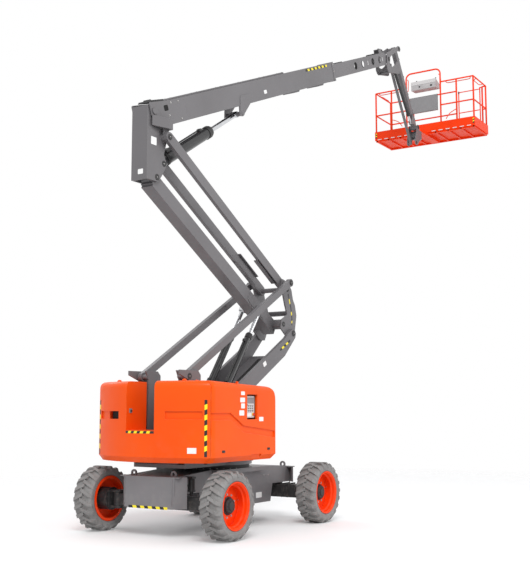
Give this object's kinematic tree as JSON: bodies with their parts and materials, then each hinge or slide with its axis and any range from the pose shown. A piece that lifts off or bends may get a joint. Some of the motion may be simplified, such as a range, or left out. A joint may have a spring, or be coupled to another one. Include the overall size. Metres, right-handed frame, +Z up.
{
  "type": "articulating boom lift",
  "caption": "Self-propelled articulating boom lift with a parallelogram riser, telescopic main boom, jib and rotating work platform on a slewing turntable.",
  "frame": {"origin": "bottom centre of the whole machine as stored, on the ground", "axes": "+X towards the platform, +Y to the operator's left, +Z up"},
  "size_m": [10.9298, 2.497, 9.436],
  "materials": {
    "cowl_orange": "semi-gloss orange enamel on moulded cowls",
    "basket_orange": "semi-gloss orange-red enamel on welded tube",
    "rim_orange": "semi-gloss orange-red enamel, grey hub in the dish",
    "tyre_grey": "non-marking grey rubber with chevron lugs",
    "chassis_grey": "satin mid-grey paint",
    "arm_grey": "satin mid-grey paint on welded steel",
    "axle_black": "black painted castings",
    "cylinder_black": "gloss black paint",
    "rod_chrome": "hard chrome piston rod",
    "console_grey": "light grey moulded control box"
  },
  "bodies": {
    "chassis": {"chassis_frame": "chassis_grey", "rear_axle": "axle_black", "steer_axle": "axle_black", "slew_ring": "axle_black"},
    "knuckle_right": {"knuckle_right": "axle_black"},
    "knuckle_left": {"knuckle_left": "axle_black"},
    "wheel_steer_right": {"tyre_steer_right": "tyre_grey", "rim_steer_right": "rim_orange"},
    "wheel_steer_left": {"tyre_steer_left": "tyre_grey", "rim_steer_left": "rim_orange"},
    "wheel_drive_right": {"tyre_drive_right": "tyre_grey", "rim_drive_right": "rim_orange"},
    "wheel_drive_left": {"tyre_drive_left": "tyre_grey", "rim_drive_left": "rim_orange"},
    "turntable": {"turntable_frame": "arm_grey", "ballast_tail": "cowl_orange", "ground_controls": "console_grey", "engine": "axle_black", "tank": "axle_black"},
    "hood_right": {"hood_right": "cowl_orange"},
    "hood_left": {"hood_left": "cowl_orange"},
    "lower_arm": {"lower_arm": "arm_grey"},
    "lower_links": {"lower_links": "arm_grey"},
    "knee": {"knee": "arm_grey"},
    "upper_arm": {"upper_arm": "arm_grey"},
    "upper_links": {"upper_links": "arm_grey"},
    "top_knuckle": {"top_knuckle": "arm_grey"},
    "riser_barrels": {"riser_barrels": "cylinder_black"},
    "riser_rods": {"riser_rods": "rod_chrome"},
    "main_boom": {"main_boom": "arm_grey"},
    "lift_barrel": {"lift_barrel": "cylinder_black"},
    "lift_rod": {"lift_rod": "rod_chrome"},
    "fly_boom": {"fly_boom": "arm_grey"},
    "tip_bracket": {"tip_bracket": "arm_grey"},
    "jib_arm": {"jib_arm": "arm_grey"},
    "jib_link": {"jib_link": "arm_grey"},
    "jib_barrel": {"jib_barrel": "cylinder_black"},
    "jib_rod": {"jib_rod": "rod_chrome"},
    "platform_mount": {"platform_mount": "arm_grey"},
    "platform": {"platform_floor": "basket_orange", "platform_rails": "basket_orange", "platform_console": "console_grey"},
    "gate": {"gate": "basket_orange"}
  },
  "joints": [
    {"name": "slew", "type": "hinge", "parent": "chassis", "child": "turntable", "pos_m": [-3.65509, 0, 0.9006], "axis": [0, 0, 1], "continuous": true},
    {"name": "steer_right", "type": "hinge", "parent": "chassis", "child": "knuckle_right", "pos_m": [-4.87259, -0.76, 0.446], "axis": [0, 0, 1], "range_deg": [-30, 30]},
    {"name": "steer_left", "type": "hinge", "parent": "chassis", "child": "knuckle_left", "pos_m": [-4.87259, 0.76, 0.446], "axis": [0, 0, 1], "range_deg": [-30, 30]},
    {"name": "spin_steer_right", "type": "hinge", "parent": "knuckle_right", "child": "wheel_steer_right", "pos_m": [-4.87259, -1.0735, 0.446], "axis": [0, 1, 0], "continuous": true},
    {"name": "spin_steer_left", "type": "hinge", "parent": "knuckle_left", "child": "wheel_steer_left", "pos_m": [-4.87259, 1.0735, 0.446], "axis": [0, 1, 0], "continuous": true},
    {"name": "spin_drive_right", "type": "hinge", "parent": "chassis", "child": "wheel_drive_right", "pos_m": [-2.43759, -1.0735, 0.446], "axis": [0, 1, 0], "continuous": true},
    {"name": "spin_drive_left", "type": "hinge", "parent": "chassis", "child": "wheel_drive_left", "pos_m": [-2.43759, 1.0735, 0.446], "axis": [0, 1, 0], "continuous": true},
    {"name": "hood_right_lift", "type": "hinge", "parent": "turntable", "child": "hood_right", "pos_m": [-4.25509, -0.458, 2.08], "axis": [-1, 0, 0], "range_deg": [0, 60]},
    {"name": "hood_left_lift", "type": "hinge", "parent": "turntable", "child": "hood_left", "pos_m": [-4.25509, 0.458, 2.08], "axis": [1, 0, 0], "range_deg": [0, 60]},
    {"name": "riser_lift", "type": "hinge", "parent": "turntable", "child": "lower_arm", "pos_m": [-4.67309, 0, 1.33], "axis": [0, -1, 0], "range_deg": [-28, 26]},
    {"name": "lower_links_swing", "type": "hinge", "parent": "turntable", "child": "lower_links", "pos_m": [-4.86709, 0, 2.135], "axis": [0, -1, 0], "range_deg": [-28.01, 26.01]},
    {"name": "knee_level", "type": "hinge", "parent": "lower_arm", "child": "knee", "pos_m": [-1.90216, 0, 2.91051], "axis": [0, -1, 0], "range_deg": [-26.01, 28.01]},
    {"name": "upper_arm_swing", "type": "hinge", "parent": "knee", "child": "upper_arm", "pos_m": [-2.11716, 0, 3.04851], "axis": [0, 1, 0], "range_deg": [-28.01, 26.01]},
    {"name": "upper_links_swing", "type": "hinge", "parent": "knee", "child": "upper_links", "pos_m": [-1.99016, 0, 3.62851], "axis": [0, 1, 0], "range_deg": [-28.01, 26.01]},
    {"name": "head_level", "type": "hinge", "parent": "upper_arm", "child": "top_knuckle", "pos_m": [-5.24091, 0, 4.85201], "axis": [0, 1, 0], "range_deg": [-26.01, 28.01]},
    {"name": "riser_barrel_swing", "type": "hinge", "parent": "lower_arm", "child": "riser_barrels", "pos_m": [-3.63446, 0, 1.91091], "axis": [0, -1, 0], "range_deg": [-5.02, 4.66]},
    {"name": "riser_rod_slide", "type": "slide", "parent": "riser_barrels", "child": "riser_rods", "axis": [0.5948, 0, 0.8039], "range_m": [-0.45214, 0.41985]},
    {"name": "boom_lift", "type": "hinge", "parent": "top_knuckle", "child": "main_boom", "pos_m": [-5.35591, 0, 5.75201], "axis": [0, -1, 0], "range_deg": [-23, 52]},
    {"name": "lift_barrel_swing", "type": "hinge", "parent": "top_knuckle", "child": "lift_barrel", "pos_m": [-5.09091, 0, 5.07201], "axis": [0, -1, 0], "range_deg": [-20.37, 46.04]},
    {"name": "lift_rod_slide", "type": "slide", "parent": "lift_barrel", "child": "lift_rod", "axis": [0.8445, 0, 0.5356], "range_m": [-0.25778, 0.58267]},
    {"name": "telescope", "type": "slide", "parent": "main_boom", "child": "fly_boom", "axis": [0.9198, 0, 0.3923], "range_m": [-2.3, 0.6]},
    {"name": "tip_level", "type": "hinge", "parent": "fly_boom", "child": "tip_bracket", "pos_m": [2.45859, 0, 8.98407], "axis": [0, -1, 0], "range_deg": [-52.01, 23.01]},
    {"name": "jib_lift", "type": "hinge", "parent": "tip_bracket", "child": "jib_arm", "pos_m": [2.99559, 0, 9.38007], "axis": [0, -1, 0], "range_deg": [-8, 112]},
    {"name": "jib_link_swing", "type": "hinge", "parent": "tip_bracket", "child": "jib_link", "pos_m": [2.87659, 0, 9.00607], "axis": [0, -1, 0], "range_deg": [-8.01, 112.01]},
    {"name": "platform_level", "type": "hinge", "parent": "jib_arm", "child": "platform_mount", "pos_m": [4.02803, 0, 7.9056], "axis": [0, -1, 0], "range_deg": [-112.01, 8.01]},
    {"name": "jib_barrel_swing", "type": "hinge", "parent": "tip_bracket", "child": "jib_barrel", "pos_m": [2.96559, 0, 8.86307], "axis": [0, -1, 0], "range_deg": [-7.77, 108.65]},
    {"name": "jib_rod_slide", "type": "slide", "parent": "jib_barrel", "child": "jib_rod", "axis": [0.6589, 0, -0.7522], "range_m": [-0.06286, 0.87877]},
    {"name": "platform_turn", "type": "hinge", "parent": "platform_mount", "child": "platform", "pos_m": [4.21503, 0, 7.86], "axis": [0, 0, 1], "range_deg": [-85, 85]},
    {"name": "gate_swing", "type": "hinge", "parent": "platform", "child": "gate", "pos_m": [5.43761, -1.055, 8.47], "axis": [0, 0, 1], "range_deg": [0, 90]}
  ],
  "couplings": [
    {"joint": "steer_right", "follows": "steer_left", "ratio": 1},
    {"joint": "lower_links_swing", "follows": "riser_lift", "ratio": 1},
    {"joint": "knee_level", "follows": "riser_lift", "ratio": -1},
    {"joint": "upper_arm_swing", "follows": "riser_lift", "ratio": 1},
    {"joint": "upper_links_swing", "follows": "riser_lift", "ratio": 1},
    {"joint": "head_level", "follows": "riser_lift", "ratio": -1},
    {"joint": "riser_barrel_swing", "follows": "riser_lift", "ratio": 0.1789},
    {"joint": "riser_rod_slide", "follows": "riser_lift", "m_per_rad": 0.925},
    {"joint": "lift_barrel_swing", "follows": "boom_lift", "ratio": 0.8852},
    {"joint": "lift_rod_slide", "follows": "boom_lift", "m_per_rad": 0.6419},
    {"joint": "tip_level", "follows": "boom_lift", "ratio": -1},
    {"joint": "jib_link_swing", "follows": "jib_lift", "ratio": 1},
    {"joint": "platform_level", "follows": "jib_lift", "ratio": -1},
    {"joint": "jib_barrel_swing", "follows": "jib_lift", "ratio": 0.97},
    {"joint": "jib_rod_slide", "follows": "jib_lift", "m_per_rad": 0.4495}
  ]
}
